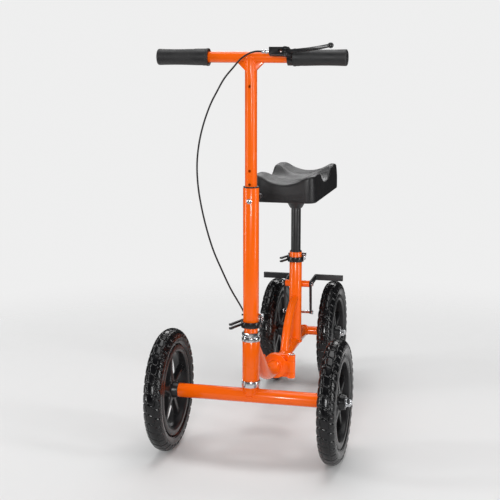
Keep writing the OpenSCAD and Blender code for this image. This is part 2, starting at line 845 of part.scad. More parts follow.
module brake_yoke() {
    arm_t = 5;
    color(black) for (s = [-1, 1]) difference() {
        union() {
            cyl_y(9, s * arm_y - arm_t / 2, s * arm_y + arm_t / 2, cross_x, brake_z);
            translate([0, s * arm_y + arm_t / 2, 0]) rotate([90, 0, 0]) linear_extrude(arm_t)
                polygon([[cross_x + 6, brake_z - 4], [rod_x + 6, rod_z - 4], [rod_x - 6, rod_z - 4],
                    [cross_x - 9, brake_z - 8], [bar_x + brake_bar_t / 2, brake_bar_z],
                    [bar_x - brake_bar_t / 2, brake_bar_z], [bar_x - brake_bar_t / 2, brake_bar_z + brake_bar_h],
                    [bar_x + 12, brake_bar_z + brake_bar_h], [cross_x + 4, brake_z + 8]]);
            translate([bar_x - brake_bar_t / 2, min(s * arm_y, s * (rear_track / 2 + 33)), brake_bar_z])
                cube([brake_bar_t, rear_track / 2 + 33 - arm_y, brake_bar_h]);
        }
        cyl_y(3 + fit, -80, 80, cross_x, brake_z);
        cyl_y(rod_r + fit, -80, 80, rod_x, rod_z);
    }
}

module brake_rod() {
    half = arm_y + 2.5;
    color(silver) {
        cyl_y(rod_r, -half - 3, half + 3, rod_x, rod_z);
        for (s = [-1, 1]) cyl_y(6.5, min(s * half, s * (half + 4)), max(s * half, s * (half + 4)), rod_x, rod_z);
    }
}

// ---- Seat ----

module seat_post() {
    color(grey) translate([seat_x, 0, 0]) difference() {
        cyl_z(post_d / 2, post_bottom, seat_h - bracket_t);
        cyl_z(post_d / 2 - 2.2, post_bottom - eps, seat_h);
        for (k = post_holes) cyl_y(3.2, -20, 20, 0, seat_pin_z + post_pitch * k);
    }
}

module seat_bracket() {
    color(black) difference() {
        union() {
            translate([pad_x - 75, -45, seat_h - bracket_t]) cube([150, 90, bracket_t]);
            translate([seat_x, 0, seat_h - bracket_h]) cylinder(r1 = 17, r2 = 34, h = bracket_h - bracket_t);
        }
        translate([seat_x, 0, 0]) cyl_z(post_d / 2 + weld_gap, 0, seat_h - bracket_t);
        for (x = [-1, 1]) for (y = [-1, 1]) translate([pad_x + x * screw_x, y * screw_y, 0]) cyl_z(2.7, 0, seat_h + eps);
    }
}

module pad_screws() {
    color(silver) for (x = [-1, 1]) for (y = [-1, 1]) translate([pad_x + x * screw_x, y * screw_y, seat_h]) {
        cyl_z(2.5, -bracket_t - 1, 14);
        cyl_z(4.8, -bracket_t - 3, -bracket_t);
    }
}

module seat_pad() {
    top = seat_h + pad_t;
    corner = 24;
    trough_half = pad_w / 2 - 22;
    trough_r = (pow(trough_half, 2) + pow(pad_trough, 2)) / (2 * pad_trough);
    dip_half = 88;
    dip_r = (pow(dip_half, 2) + pow(pad_dip, 2)) / (2 * pad_dip);
    color(black) difference() {
        translate([pad_x, 0, seat_h]) linear_extrude(pad_t) union() {
            square([pad_len, pad_w - 2 * corner], center = true);
            square([pad_len - 2 * corner, pad_w], center = true);
            for (x = [-1, 1]) for (y = [-1, 1])
                translate([x * (pad_len / 2 - corner), y * (pad_w / 2 - corner)]) circle(r = corner);
        }
        cyl_x(trough_r, pad_x - pad_len, pad_x + pad_len, 0, top - pad_trough + trough_r, $fn = 128);
        cyl_y(dip_r, -pad_w, pad_w, pad_x, top - pad_dip + dip_r, $fn = 128);
        for (x = [-1, 1]) for (y = [-1, 1]) translate([pad_x + x * screw_x, y * screw_y, seat_h]) cyl_z(2.7, -eps, 15);
    }
}

// ---- Wheels ----

// Places a wheel made on the local Z axis
module at_wheel(x, y) {
    translate([x, y, axle_z]) rotate([90, 0, 0]) children();
}

function turned(p, a) = [p[0] * cos(a) - p[1] * sin(a), p[0] * sin(a) + p[1] * cos(a)];
// Outline of one spoke from its root on one side to its root on the other
function spoke_half(inner) = [[hub_r + 2, -15], [hub_r + 14, -9], [inner - 30, -6.5], [inner + 2, -9],
    [inner + 2, 9], [inner - 30, 6.5], [hub_r + 14, 9], [hub_r + 2, 15]];

module rim() {
    ring_w = bead_w + flange_w;
    inner = rim_bed_r - rim_t;
    color(black) difference() {
        union() {
            rotate_extrude($fn = 96) polygon([[inner, -ring_w], [rim_bed_r + 8, -ring_w], [rim_bed_r + 8, -bead_w - 0.1],
                [rim_bed_r, -bead_w - 0.1], [rim_bed_r, bead_w + 0.1], [rim_bed_r + 8, bead_w + 0.1],
                [rim_bed_r + 8, ring_w], [inner, ring_w]]);
            cyl_z(hub_r, -hub_w / 2, hub_w / 2);
            translate([0, 0, -spoke_w / 2]) linear_extrude(spoke_w) polygon([for (k = [0:spokes - 1])
                for (p = spoke_half(inner)) turned(p, 360 * k / spokes + 90)]);
        }
        cyl_z(axle_r + 2, -hub_w, hub_w);
        for (s = [-1, 1]) translate([0, 0, s * hub_w / 2]) cyl_z(bearing_r, -bearing_w, bearing_w);
    }
}

module tyre() {
    color(black) rotate_extrude($fn = 96) difference() {
        union() {
            translate([tyre_mid_r, 0]) circle(r = tyre_r);
            translate([rim_bed_r + weld_gap, -bead_w]) square([tyre_mid_r - rim_bed_r, 2 * bead_w]);
        }
        translate([tyre_mid_r, 0]) circle(r = tyre_r - tyre_wall);
        translate([rim_bed_r - 10, -bead_w + tyre_wall]) square([20, 2 * (bead_w - tyre_wall)]);
    }
}

module bearings() {
    color(silver) for (s = [-1, 1]) translate([0, 0, s * (hub_w - bearing_w) / 2]) difference() {
        cyl_z(bearing_r - weld_gap, -bearing_w / 2 + weld_gap, bearing_w / 2);
        cyl_z(axle_r + fit, -bearing_w, bearing_w);
        rotate_extrude() translate([(bearing_r + axle_r) / 2, s * bearing_w / 2]) square([2, 1.6], center = true);
    }
}

module rim_front_left() {
    at_wheel(front_x, front_track / 2) rim();
}

module tyre_front_left() {
    at_wheel(front_x, front_track / 2) tyre();
}

module bearings_front_left() {
    at_wheel(front_x, front_track / 2) bearings();
}

module rim_front_right() {
    at_wheel(front_x, -front_track / 2) rim();
}

module tyre_front_right() {
    at_wheel(front_x, -front_track / 2) tyre();
}

module bearings_front_right() {
    at_wheel(front_x, -front_track / 2) bearings();
}

module rim_rear_left() {
    at_wheel(rear_x, rear_track / 2) rim();
}

module tyre_rear_left() {
    at_wheel(rear_x, rear_track / 2) tyre();
}

module bearings_rear_left() {
    at_wheel(rear_x, rear_track / 2) bearings();
}

module rim_rear_right() {
    at_wheel(rear_x, -rear_track / 2) rim();
}

module tyre_rear_right() {
    at_wheel(rear_x, -rear_track / 2) tyre();
}

module bearings_rear_right() {
    at_wheel(rear_x, -rear_track / 2) bearings();
}

rear_lower_tube();
seat_tube();
arch_tube();
rear_axle_tube();
brake_cross_tube();
rear_hinge_plate();
hinge_pin();
hinge_bumper();
seat_tube_bush();
seat_clamp();
rear_axle();
cable_exit_boot();
brake_cable_rear();
brake_pivot_bolts();
front_tube();
head_tube();
front_hinge_plate();
headset_cups();
headset_bearings();
cable_entry_boot();
brake_cable_front();
latch_bolt();
hinge_latch();
front_axle_tube();
steerer_tube();
headset_nuts();
lower_column();
column_bush();
column_clamp();
front_axle_bolts();
column_clamp_lever();
seat_clamp_lever();
column_lock_pin();
seat_lock_pin();
star_knob();
handlebar_tube();
upper_column();
grip_left();
grip_right();
lever_bracket();
cable_adjuster();
brake_lever();
brake_yoke();
brake_rod();
seat_post();
seat_bracket();
seat_pad();
pad_screws();
rim_front_left();
tyre_front_left();
bearings_front_left();
rim_front_right();
tyre_front_right();
bearings_front_right();
rim_rear_left();
tyre_rear_left();
bearings_rear_left();
rim_rear_right();
tyre_rear_right();
bearings_rear_right();
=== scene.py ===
import json
import bmesh
import bpy
import numpy as np
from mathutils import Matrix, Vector

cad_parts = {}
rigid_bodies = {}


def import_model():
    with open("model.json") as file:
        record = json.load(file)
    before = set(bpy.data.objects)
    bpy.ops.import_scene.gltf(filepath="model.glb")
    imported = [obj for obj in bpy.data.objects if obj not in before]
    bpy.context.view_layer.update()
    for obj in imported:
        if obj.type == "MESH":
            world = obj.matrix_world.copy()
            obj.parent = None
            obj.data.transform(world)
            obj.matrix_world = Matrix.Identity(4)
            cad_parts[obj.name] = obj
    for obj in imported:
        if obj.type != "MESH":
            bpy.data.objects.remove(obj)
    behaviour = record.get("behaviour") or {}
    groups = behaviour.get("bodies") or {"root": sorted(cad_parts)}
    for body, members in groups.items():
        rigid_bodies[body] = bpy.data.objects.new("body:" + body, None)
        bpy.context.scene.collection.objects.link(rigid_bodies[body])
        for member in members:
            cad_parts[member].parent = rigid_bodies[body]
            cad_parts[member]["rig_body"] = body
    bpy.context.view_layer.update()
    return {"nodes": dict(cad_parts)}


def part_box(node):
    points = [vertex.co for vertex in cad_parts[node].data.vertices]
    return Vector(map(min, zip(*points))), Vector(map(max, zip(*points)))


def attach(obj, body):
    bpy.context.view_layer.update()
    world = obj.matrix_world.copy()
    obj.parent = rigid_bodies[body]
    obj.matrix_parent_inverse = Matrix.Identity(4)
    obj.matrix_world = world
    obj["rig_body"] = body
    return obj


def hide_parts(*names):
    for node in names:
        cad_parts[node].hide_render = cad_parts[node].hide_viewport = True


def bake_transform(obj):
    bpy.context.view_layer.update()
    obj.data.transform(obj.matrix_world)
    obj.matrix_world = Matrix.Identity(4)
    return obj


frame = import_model()
nodes = frame["nodes"]
scene = bpy.context.scene

# ---- Camera ----
# Stands about three metres ahead of the scooter and a little to its left, at chest height,
# and looks slightly down at the middle of it.
camera = bpy.data.objects.new("camera", bpy.data.cameras.new("camera"))
scene.collection.objects.link(camera)
camera.location = (2.956, 0.650, 1.012)
camera_aim = Vector((0, -0.0845, 0.451))
camera.rotation_euler = (camera_aim - camera.location).to_track_quat("-Z", "Y").to_euler()
camera.data.lens = 82.9
scene.camera = camera

# ---- Brake cable ----
# A plastic-covered steel cable runs from the brake lever in a wide arc down to the front tube,
# through both frame tubes, and comes out as a bare wire that pulls the rear brake.
cable_radius = 0.0021
wire_radius = 0.0009
span_steps = 6
upper_spans, lower_spans = 11, 21
strands = 7
strand_lay = 0.014
forwards, sideways, upwards = np.eye(3)
cable_down = np.array([(382.2, 37.7, 982), (382.2, 24, 982), (380, 7, 977), (375, -13, 965), (368, -33, 945),
    (361, -56, 920), (354, -76, 889), (347, -95, 856), (339, -114, 810), (333, -127, 762), (329, -133, 712),
    (327, -131, 660), (325, -123, 608), (323, -111, 556), (320, -96, 506), (314, -77, 458), (305, -57, 410),
    (292, -34.5, 364), (280, -17.5, 322), (272, -7, 288), (262, 0, 262), (252, 0, 242), (240, 0, 222),
    (222, 0, 200), (200, 0, 180), (176, 0, 166), (150, 0, 157), (120, 0, 153), (90, 0, 152.5),
    (58, 0, 152.5), (20, 0, 152.5), (-20, 0, 152.5), (-50, 0, 153), (-74, -1, 156),
    (-92, -3, 163), (-104, -6, 172.3), (-116, -9, 181.6)]) / 1000
wire_back = np.array([(-116, -9, 181.6), (-128, -14, 191), (-146, -20, 202), (-168, -24, 212),
    (-192, -25, 220), (-214, -25, 226), (-233, -25, 230)]) / 1000


def smooth_path(points, steps):
    """Catmull-Rom curve through the points: each span is the cubic whose slope at a point is half the step
    from the point before it to the point after it."""
    p = np.vstack([points[:1], points, points[-1:]])[:, None, :]
    a, b, c, d = p[:-3], p[1:-2], p[2:-1], p[3:]
    t = (np.arange(steps) / steps)[None, :, None]
    curve = 0.5 * (2 * b + (c - a) * t + (2 * a - 5 * b + 4 * c - d) * t**2 + (3 * b - a - 3 * c + d) * t**3)
    return np.vstack([curve.reshape(-1, 3), points[-1:]])


def signed_volume(points, faces):
    """Sum over the faces' fans of the tetrahedra that they span with the origin."""
    total = 0.0
    for k in range(1, faces.shape[1] - 1):
        a, b, c = points[faces[:, 0]], points[faces[:, k]], points[faces[:, k + 1]]
        total += np.einsum("ij,ij->i", a, np.cross(b, c)).sum()
    return total


def surface(name, grid, loop=False):
    """Closed skin over a grid of points: every row is a ring, and they follow each other. The end rings are
    closed with fans about their middles, or joined to each other if loop is true."""
    rows, cols = grid.shape[:2]
    index = np.arange(rows * cols).reshape(rows, cols)
    if loop:
        index = np.vstack([index, index[:1]])
    side = np.roll(index, -1, axis=1)
    quads = np.stack([index[:-1], index[1:], side[1:], side[:-1]], axis=-1).reshape(-1, 4)
    points = grid.reshape(-1, 3)
    faces = quads.tolist()
    flip = signed_volume(points, quads) < 0
    if not loop:
        middles = np.array([grid[0].mean(0), grid[-1].mean(0)])
        points = np.vstack([points, middles])
        first = np.stack([side[0], np.full(cols, rows * cols), index[0]], axis=-1)[:, ::-1]
        last = np.stack([index[-1], np.full(cols, rows * cols + 1), side[-1]], axis=-1)[:, ::-1]
        faces += first.tolist() + last.tolist()
        fans = np.vstack([first, last])
        flip = signed_volume(points, quads) + signed_volume(points, fans) < 0
    if flip:
        faces = [f[::-1] for f in faces]
    mesh = bpy.data.meshes.new(name)
    mesh.from_pydata(points.tolist(), [], faces)
    mesh.polygons.foreach_set("use_smooth", np.ones(len(faces), bool))
    mesh.update()
    piece = bpy.data.objects.new(name, mesh)
    scene.collection.objects.link(piece)
    return piece


def round_section(path, radius, sides, side_hint):
    """Rings carried along a path: each is a circle square to its tangent, turned so that its first point
    lies towards side_hint. radius may differ from ring to ring and around each ring."""
    tangent = np.gradient(path, axis=0)
    tangent /= np.linalg.norm(tangent, axis=1)[:, None]
    u = side_hint - (tangent @ side_hint)[:, None] * tangent
    u /= np.linalg.norm(u, axis=1)[:, None]
    v = np.cross(tangent, u)
    angle = np.linspace(0, 2 * np.pi, sides, endpoint=False)[None, :, None]
    radius = np.broadcast_to(radius, (len(path), sides))[..., None]
    return path[:, None, :] + radius * (np.cos(angle) * u[:, None, :] + np.sin(angle) * v[:, None, :])


def grain_group():
    """Height is a fine noise for the bump, and Mottle a slow, soft one for colour and roughness."""
    group = bpy.data.node_groups.new("surface_grain", "ShaderNodeTree")
    for name, default in (("Grain size", 0.001), ("Mottle size", 0.05)):
        socket = group.interface.new_socket(name, in_out="INPUT", socket_type="NodeSocketFloat")
        socket.default_value = default
    for name in ("Height", "Mottle"):
        group.interface.new_socket(name, in_out="OUTPUT", socket_type="NodeSocketFloat")
    n, link = group.nodes, group.links.new
    inputs, outputs, where = n.new("NodeGroupInput"), n.new("NodeGroupOutput"), n.new("ShaderNodeTexCoord")
    for size, output, detail in (("Grain size", "Height", 2), ("Mottle size", "Mottle", 4)):
        scale = n.new("ShaderNodeMath")
        scale.operation = "DIVIDE"
        scale.inputs[0].default_value = 1
        link(inputs.outputs[size], scale.inputs[1])
        noise = n.new("ShaderNodeTexNoise")
        noise.inputs["Detail"].default_value = detail
        link(where.outputs["Object"], noise.inputs["Vector"])
        link(scale.outputs[0], noise.inputs["Scale"])
        link(noise.outputs["Fac"], outputs.inputs[output])
    return group


surface_grain = grain_group()
mottle_range = (0.35, 0.65)


def finish_of(name, dark, light, roughness, grain, bump, metallic=0.0, coat=0.0, coat_roughness=0.1,
              mottle=0.05, specular=0.5):
    """Material whose colour goes from dark to light and whose roughness goes between two values with the
    mottling, and whose fine grain is a bump of the given height in metres."""
    material = bpy.data.materials.new(name)
    material.use_nodes = True
    n, link = material.node_tree.nodes, material.node_tree.links.new
    shader = n["Principled BSDF"]
    for socket, value in (("Metallic", metallic), ("Coat Weight", coat), ("Coat Roughness", coat_roughness),
                          ("Specular IOR Level", specular)):
        shader.inputs[socket].default_value = value
    effect = n.new("ShaderNodeGroup")
    effect.node_tree = surface_grain
    effect.inputs["Grain size"].default_value = grain
    effect.inputs["Mottle size"].default_value = mottle
    tint = n.new("ShaderNodeMix")
    tint.data_type = "RGBA"
    tint.inputs["A"].default_value = (*dark, 1)
    tint.inputs["B"].default_value = (*light, 1)
    link(effect.outputs["Mottle"], tint.inputs["Factor"])
    link(tint.outputs["Result"], shader.inputs["Base Color"])
    rough = n.new("ShaderNodeMapRange")
    for socket, value in zip(("From Min", "From Max", "To Min", "To Max"), (*mottle_range, *roughness)):
        rough.inputs[socket].default_value = value
    link(effect.outputs["Mottle"], rough.inputs["Value"])
    link(rough.outputs["Result"], shader.inputs["Roughness"])
    relief = n.new("ShaderNodeBump")
    relief.inputs["Strength"].default_value = 1.0
    relief.inputs["Distance"].default_value = bump
    link(effect.outputs["Height"], relief.inputs["Height"])
    link(relief.outputs["Normal"], shader.inputs["Normal"])
    return material


def dress(piece, material):
    """Makes the material the only one of the piece."""
    piece.data.materials.clear()
    piece.data.materials.append(material)
    return piece


cable_cover = finish_of("cable_cover", (0.008, 0.008, 0.009), (0.016, 0.016, 0.017), (0.28, 0.4),
                        0.0012, 0.00002)
wire_steel = finish_of("wire_steel", (0.55, 0.55, 0.57), (0.7, 0.7, 0.72), (0.25, 0.4), 0.0006, 0.00008,
                       metallic=1.0)


def housing(name, first, last, side_hint):
    """The black housing from one point of the cable's curve to another."""
    route = smooth_path(cable_down, span_steps)[first:last]
    return dress(surface(name, round_section(route, cable_radius, 16, side_hint)), cable_cover)


def stranded_wire():
    """Twisted wire: the radius has a soft lobe at each strand, and the lobes turn once every strand_lay."""
    path = smooth_path(wire_back, 24)
    run = np.r_[0, np.cumsum(np.linalg.norm(np.diff(path, axis=0), axis=1))][:, None]
    angle = np.linspace(0, 2 * np.pi, 28, endpoint=False)[None, :]
    twist = run / strand_lay * 2 * np.pi
    radius = wire_radius * (0.9 + 0.12 * np.abs(np.cos(strands / 2 * (angle + twist))))
    return dress(surface("brake_wire", round_section(path, radius, 28, upwards)), wire_steel)


upper_end, lower_end = upper_spans * span_steps, lower_spans * span_steps
cable_upper = housing("brake_cable_upper", 0, upper_end + 1, forwards)
cable_lower = housing("brake_cable_lower", upper_end, lower_end + 1, sideways)
cable_inside = housing("brake_cable_inside", lower_end, None, sideways)
brake_wire = stranded_wire()
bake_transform(cable_upper)
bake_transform(cable_lower)
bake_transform(cable_inside)
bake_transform(brake_wire)
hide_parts("brake_cable_front")
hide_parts("brake_cable_rear")

# ---- Welded frames and columns ----
# Steel tubes, mitred and welded together, then powder coated a bright, glossy orange. The front frame,
# the rear frame, the steered fork and the handlebar are painted apart, and the hinge plates with them.
powder_coat = finish_of("powder_coat", (0.95, 0.118, 0.0004), (0.98, 0.145, 0.0008), (0.22, 0.3),
                        0.0035, 0.00006, coat=0.3, coat_roughness=0.06, mottle=0.12, specular=0.25)
merge_gap = 1e-6
flat_angle = np.radians(0.6)
sharp_angle = np.radians(40)


def edged(node, width, material, segments=2):
    """Merged copy of a CAD node: flat faces are whole again and sharp edges are rounded over width."""
    source = nodes[node]
    work = bmesh.new()
    work.from_mesh(source.data)
    bmesh.ops.remove_doubles(work, verts=work.verts, dist=merge_gap)
    bmesh.ops.dissolve_limit(work, angle_limit=flat_angle, verts=work.verts, edges=work.edges)
    mesh = bpy.data.meshes.new(node + "_body")
    work.to_mesh(mesh)
    work.free()
    mesh.polygons.foreach_set("use_smooth", np.ones(len(mesh.polygons), bool))
    piece = bpy.data.objects.new(node + "_body", mesh)
    scene.collection.objects.link(piece)
    bevel = piece.modifiers.new("edges", "BEVEL")
    bevel.width = width
    bevel.segments = segments
    bevel.limit_method = "ANGLE"
    bevel.angle_limit = sharp_angle
    bevel.use_clamp_overlap = True
    bevel.harden_normals = True
    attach(dress(piece, material), source["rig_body"])
    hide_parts(node)
    return piece


for node in ("rear_lower_tube", "seat_tube", "arch_tube", "rear_axle_tube", "front_tube", "head_tube",
             "front_axle_tube", "steerer_tube", "lower_column", "handlebar_tube", "upper_column"):
    edged(node, 0.0006, powder_coat)
for node in ("brake_cross_tube", "rear_hinge_plate", "front_hinge_plate", "hinge_latch"):
    edged(node, 0.0009, powder_coat, 3)

# ---- Weld beads ----
# Where one tube meets another, a welded bead of stacked ripples runs round the joint under the paint.
bead_radius = 0.0021
bar_bead_radius = 0.0017
ripple_length = 0.0026
ripple_height = 0.16
paint = 0.0001


def saddle(centre, main_axis, main_radius, branch_axis, branch_radius, count=220):
    """Closed line where a branch tube meets a main tube: points of the branch's surface, moved along its axis
    until they lie main_radius and the paint from the main tube's axis. centre is where the axes cross."""
    main_axis, branch_axis = (np.array(a, float) / np.linalg.norm(a) for a in (main_axis, branch_axis))
    u = np.cross(main_axis, branch_axis)
    u /= np.linalg.norm(u)
    v = np.cross(branch_axis, u)
    angle = np.linspace(0, 2 * np.pi, count, endpoint=False)[:, None]
    p = branch_radius * (np.cos(angle) * u + np.sin(angle) * v)
    flat = p - (p @ main_axis)[:, None] * main_axis
    lean = branch_axis - (branch_axis @ main_axis) * main_axis
    a, b, c = lean @ lean, flat @ lean, np.einsum("ij,ij->i", flat, flat) - (main_radius + paint) ** 2
    along = (-b + np.sqrt(np.maximum(b * b - a * c, 0))) / a
    return np.array(centre) + p + along[:, None] * branch_axis


def bead(name, line, body, radius=bead_radius):
    """Ring of rippled section along a closed line: the radius swells and shrinks once every ripple_length."""
    step = np.roll(line, -1, axis=0) - line
    run = np.cumsum(np.linalg.norm(step, axis=1))
    ripples = np.round(run[-1] / ripple_length)
    line = np.vstack([line[-1:], line, line[:1]])
    wave = radius * (1 + ripple_height * np.abs(np.sin(np.pi * ripples * run / run[-1])))[:, None, None]
    tangent = line[2:] - line[:-2]
    tangent /= np.linalg.norm(tangent, axis=1)[:, None]
    line = line[1:-1]
    out = line - line.mean(0)
    out -= np.einsum("ij,ij->i", out, tangent)[:, None] * tangent
    out /= np.linalg.norm(out, axis=1)[:, None]
    side = np.cross(tangent, out)
    angle = np.linspace(0, 2 * np.pi, 10, endpoint=False)[None, :, None]
    ring = np.cos(angle) * out[:, None, :] + np.sin(angle) * side[:, None, :]
    piece = dress(surface(name, line[:, None, :] + wave * ring, loop=True), powder_coat)
    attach(piece, body)


def middle(node):
    """Middle of a CAD node's box."""
    low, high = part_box(node)
    return (low + high) / 2


def circle_line(centre, axis, radius, count=160):
    """Circle about an axis, as points."""
    axis = np.array(axis, float)
    u = np.cross(axis, (0.3, 0.5, 0.8))
    u /= np.linalg.norm(u)
    v = np.cross(axis, u)
    angle = np.linspace(0, 2 * np.pi, count, endpoint=False)[:, None]
    return np.array(centre) + radius * (np.cos(angle) * u + np.sin(angle) * v)


steer_x = middle("head_tube").x
axle_z = middle("front_axle_tube").z
seat_x = middle("seat_tube").x
bar_z = middle("handlebar_tube").z
head_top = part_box("head_tube")[1].z
rear_x = middle("rear_axle_tube").x
rear_plate_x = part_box("rear_hinge_plate")[1].x - 0.012
front_plate_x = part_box("front_tube")[0].x
slope = np.radians(40)
down_slope = (-np.cos(slope), 0, -np.sin(slope))
front_axle_r, steerer_r, head_r, front_tube_r = 0.0175, 0.0190, 0.0210, 0.0180
bar_r, upper_column_r = 0.0127, 0.0143
rear_tube_r, seat_tube_r, rear_axle_r = 0.0150, 0.0175, 0.0127
steerer_weld = saddle((steer_x, 0, axle_z), sideways, front_axle_r, upwards, steerer_r)
head_weld = saddle((steer_x, 0, head_top - 0.007), upwards, head_r, down_slope, front_tube_r)
bar_weld = saddle((steer_x, 0, bar_z), sideways, bar_r, -upwards, upper_column_r)
seat_weld = saddle((seat_x, 0, axle_z), forwards, rear_tube_r, upwards, seat_tube_r)
axle_weld = saddle((rear_x, 0, axle_z), sideways, rear_axle_r, forwards, rear_tube_r)
bead("weld_steerer", steerer_weld, "steering")
bead("weld_head", head_weld, "front_frame")
bead("weld_bar", bar_weld, "handlebar", bar_bead_radius)
bead("weld_seat_tube", seat_weld, "rear_frame")
bead("weld_rear_axle", axle_weld, "rear_frame")
bead("weld_rear_plate", circle_line((rear_plate_x, 0, axle_z), forwards, rear_tube_r), "rear_frame")
bead("weld_front_plate", circle_line((front_plate_x, 0, axle_z), forwards, front_tube_r), "front_frame")

# ---- Wheels: tyres ----
# Air-filled 12 inch tyres of black rubber, moulded with a wavy block tread that reaches down the shoulders
# and with thin raised rings round the sidewalls. They ride on the rims' beads.
tyre_low, tyre_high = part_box("tyre_front_left")
tyre_outer = (tyre_high.z - tyre_low.z) / 2
tyre_half = (tyre_high.y - tyre_low.y) / 2
tread_depth = 0.0019
blocks = 38
steps_per_block = 18
tread_reach = np.radians(78)
casing_end = np.radians(148)
narrowing_start = np.radians(95)
ring_height = 0.0007
ring_angles = (88, 112, 121)
rubber = finish_of("tyre_rubber", (0.002, 0.002, 0.0025), (0.007, 0.007, 0.008), (0.12, 0.28), 0.0016, 0.0001,
                   mottle=0.02, specular=0.4)


def soft_pulse(x, low, high, blur):
    """1 between low and high and 0 outside, with ramps that are blur wide."""
    return np.clip((x - low) / blur, 0, 1) * np.clip((high - x) / blur, 0, 1)


def groove(distance, half_width):
    """1 at a groove's middle line and 0 beyond its half width, with sloped walls."""
    return np.clip(1.5 * (1 - np.abs(distance) / half_width), 0, 1)


def tread(turn, side):
    """Height of the tread, 0 to 1: turn counts blocks round the tyre and side goes from -1 to 1 across it. Two
    zigzag grooves run round it, each at 0.3 of the half width plus a triangle wave, and bent cross grooves
    part the middle and shoulder rows, half a block out of step. The shoulders' outer edge is a wave."""
    across = np.abs(side)
    phase = turn + np.where(side > 0, 0.5, 0.0)
    zigzag = 0.30 + 0.10 * (2 * np.abs((phase % 1) - 0.5) - 0.5)
    around_grooves = groove(across - zigzag, 0.055)
    shoulder_cut = groove(((phase + 0.35 * across) % 1) - 0.5, 0.10) * (across > zigzag)
    middle_cut = groove(((turn + 0.25 + 0.5 * side) % 1) - 0.5, 0.085) * (across < zigzag)
    cut = groove(((phase + 0.35 * across) % 1) - 0.02, 0.04)
    sipe = 0.45 * cut * soft_pulse(across, 0.45, 0.8, 0.05)
    edge_wave = 0.90 + 0.06 * np.cos(2 * np.pi * (phase + 0.3))
    depth = np.maximum.reduce([around_grooves, shoulder_cut, middle_cut, sipe])
    return (1 - depth) * np.clip((edge_wave - across) / 0.04, 0, 1)


def tyre_mesh(name, place):
    """Profile carried round the axle: a circle of the tyre's half width, lowered by the tread's grooves over
    its outer part, raised by thin rings over its sides, and a little narrower towards the rim's bed."""
    ring_r = tyre_outer - tyre_half
    around = np.arange(blocks * steps_per_block) / steps_per_block
    tread_phi = np.linspace(-tread_reach, tread_reach, 72)
    wall_phi = np.linspace(tread_reach, casing_end, 24)[1:]
    phi = np.r_[-wall_phi[::-1], tread_phi, wall_phi]
    turn, phi = np.meshgrid(around, phi, indexing="ij")
    height = tread(turn, phi / tread_reach)
    rings = sum(np.exp(-((np.degrees(np.abs(phi)) - at) / 1.6) ** 2) for at in ring_angles)
    r = tyre_half - tread_depth * (1 - height) + ring_height * rings
    past = np.maximum(np.abs(phi) - narrowing_start, 0)
    width = 1 - 0.09 * (past / 0.9) ** 2
    radial = ring_r + r * np.cos(phi)
    spin = turn / blocks * 2 * np.pi
    grid = np.stack([place.x + radial * np.cos(spin), place.y + r * np.sin(phi) * width,
                     place.z + radial * np.sin(spin)], axis=-1)
    return surface(name, grid, loop=True)


corners = ("front_left", "front_right", "rear_left", "rear_right")
for corner in corners:
    piece = dress(tyre_mesh("tyre_" + corner + "_casing", middle("tyre_" + corner)), rubber)
    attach(piece, "wheel_" + corner)
    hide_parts("tyre_" + corner)

# ---- Wheels: rims ----
# One-piece black rims of moulded nylon with five tapered spokes, a thick hub for the bearings and a
# deep bed between two lips for the tyre.
spoke_count = 5
bed_r = 0.105
lip_r = 0.1125
ring_half = 0.0193
ring_in = 0.0965
hub_r = 0.0205
hub_half = 0.025
bore_r = 0.0131
bed_half = 0.0171
lip_half = 0.0181
ring_in_half = 0.0165
ring_shoulder_r, lip_foot_r = 0.101, 0.1065
spoke_half_width, spoke_half_depth = 0.0062, 0.0078
box_power = 0.42
rim_black = finish_of("rim_nylon", (0.006, 0.006, 0.007), (0.012, 0.012, 0.013), (0.26, 0.38),
                      0.0009, 0.00005)


def turned(name, profile, place, count=160):
    """A closed profile of (radius, sideways) points carried round the axle."""
    spin = np.linspace(0, 2 * np.pi, count, endpoint=False)[:, None]
    r, y = profile[:, 0][None, :], profile[:, 1][None, :]
    grid = np.stack([place.x + r * np.cos(spin), place.y + y + 0 * spin, place.z + r * np.sin(spin)], axis=-1)
    return surface(name, grid, loop=True)


def rounded(corner_points, radii, steps=5):
    """Polygon with rounded corners: each is the arc p + r (back (1 - t)^2 + fore t^2) of reach r."""
    p = np.array(corner_points, float)
    back, fore = np.roll(p, 1, axis=0) - p, np.roll(p, -1, axis=0) - p
    back /= np.linalg.norm(back, axis=1)[:, None]
    fore /= np.linalg.norm(fore, axis=1)[:, None]
    r = np.broadcast_to(radii, len(p))[:, None, None]
    t = np.linspace(0, 1, steps)[None, :, None]
    p, back, fore = p[:, None, :], back[:, None, :], fore[:, None, :]
    return (p + r * (back * (1 - t) ** 2 + fore * t**2)).reshape(-1, 2)


def spoke_grid(place, lean):
    """Loft along a radius: a rounded box, x = sign(cos) |cos|^p and y = sign(sin) |sin|^p, that narrows
    outwards, grows wider in fillets at both ends and is deeper near the hub."""
    r = np.linspace(hub_r - 0.004, ring_in + 0.002, 44)[:, None]
    root = np.clip((0.052 - r) / 0.034, 0, 1)
    tip = np.clip((r - (ring_in - 0.014)) / 0.016, 0, 1)
    fillets = 0.0095 * (1 - np.sqrt(1 - root**2)) + 0.008 * (1 - np.sqrt(1 - tip**2))
    width = spoke_half_width + 0.0012 * (ring_in - r) / 0.07 + fillets
    depth = spoke_half_depth + 0.0035 * np.clip((0.05 - r) / 0.03, 0, 1)
    angle = np.linspace(0, 2 * np.pi, 32, endpoint=False)[None, :]
    x = np.sign(np.cos(angle)) * np.abs(np.cos(angle)) ** box_power * width
    y = np.sign(np.sin(angle)) * np.abs(np.sin(angle)) ** box_power * depth
    c, s = np.cos(lean), np.sin(lean)
    return np.stack([place.x + r * c - x * s, place.y + y, place.z + r * s + x * c], axis=-1)


